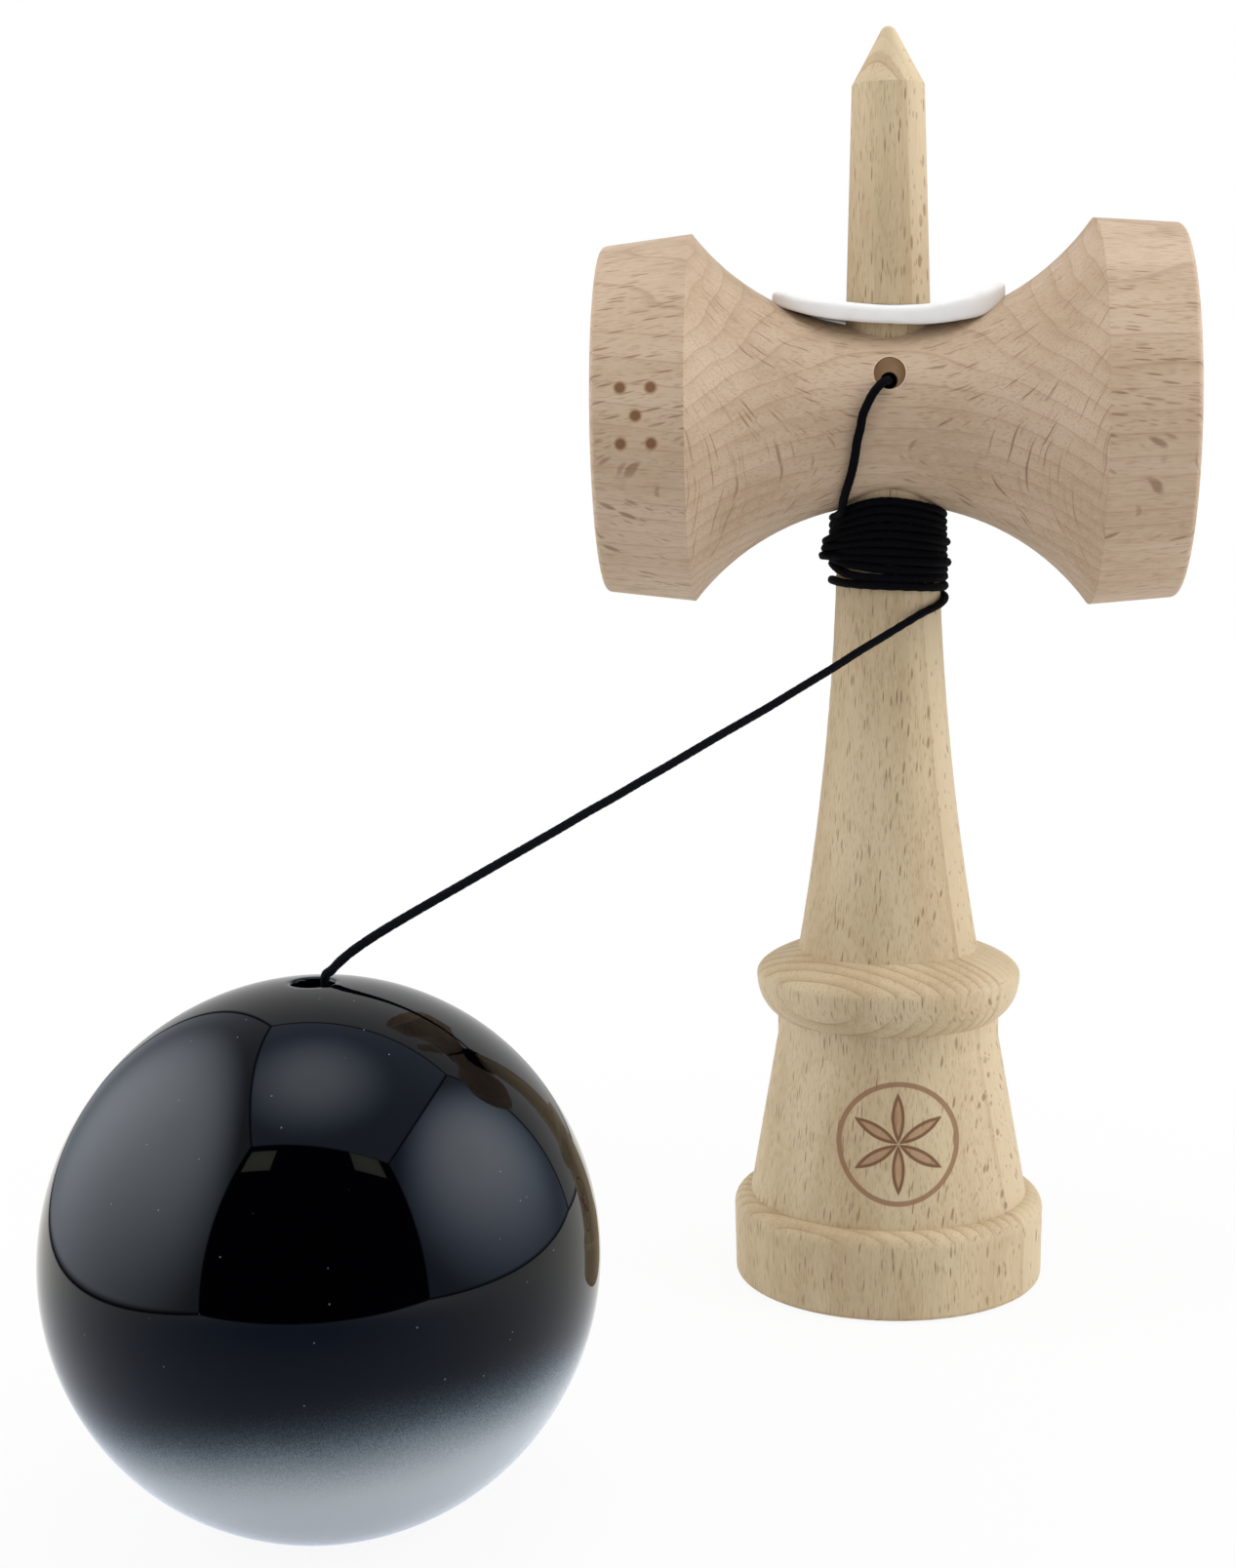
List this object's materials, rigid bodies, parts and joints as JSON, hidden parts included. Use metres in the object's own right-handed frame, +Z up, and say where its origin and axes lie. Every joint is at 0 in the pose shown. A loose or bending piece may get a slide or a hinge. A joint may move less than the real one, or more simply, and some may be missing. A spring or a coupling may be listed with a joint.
{
  "type": "cup and ball toy",
  "caption": "Kendama: a turned beech handle with a spike, a crosspiece with two cups, a base cup and a lacquered ball on a black string.",
  "frame": {"origin": "centre of the base rim, on the surface that the ken stands on", "axes": "+Z up along the ken to the spike, +X along the crosspiece to the big cup, -Y to the front with the string's hole"},
  "size_m": [0.129, 0.1297, 0.165],
  "materials": {
    "ken_wood": "bare sanded beech, growth rings and short dark flecks along Z",
    "crosspiece_wood": "bare sanded beech, growth rings and short dark flecks along X",
    "washer_white": "smooth white, slightly glossy",
    "string_black": "fine black braid",
    "bead_wood": "plain wood",
    "ball_lacquer": "thick gloss lacquer on wood, black above, fading through fine speckle to greyish white at the foot"
  },
  "bodies": {
    "ken": {"ken": "ken_wood", "crosspiece": "crosspiece_wood", "saddle_washer": "washer_white", "string_anchor_knot": "string_black", "string_lead": "string_black", "string_winding": "string_black"},
    "string_upper": {"string_run_upper": "string_black"},
    "string_lower": {"string_run_lower": "string_black"},
    "string_end": {"string_tail": "string_black", "string_end_knot": "string_black", "ball_bead": "bead_wood"},
    "ball": {"ball": "ball_lacquer"}
  },
  "joints": [
    {"name": "string_swing", "type": "hinge", "parent": "ken", "child": "string_upper", "pos_m": [0.00416, -0.00652, 0.09115], "axis": [0, 0, 1], "range_deg": [0, 90]},
    {"name": "string_lift", "type": "hinge", "parent": "string_upper", "child": "string_lower", "pos_m": [-0.00397, -0.01493, 0.08645], "axis": [-0.7192, 0.6948, 0], "range_deg": [0, 60]},
    {"name": "ball_tilt", "type": "hinge", "parent": "string_lower", "child": "string_end", "pos_m": [-0.06089, -0.07385, 0.05789], "axis": [-0.7192, 0.6948, 0], "range_deg": [-10, 60]},
    {"name": "ball_spin", "type": "hinge", "parent": "string_end", "child": "ball", "pos_m": [-0.062, -0.075, 0.05], "axis": [0, 0, 1], "continuous": true}
  ]
}
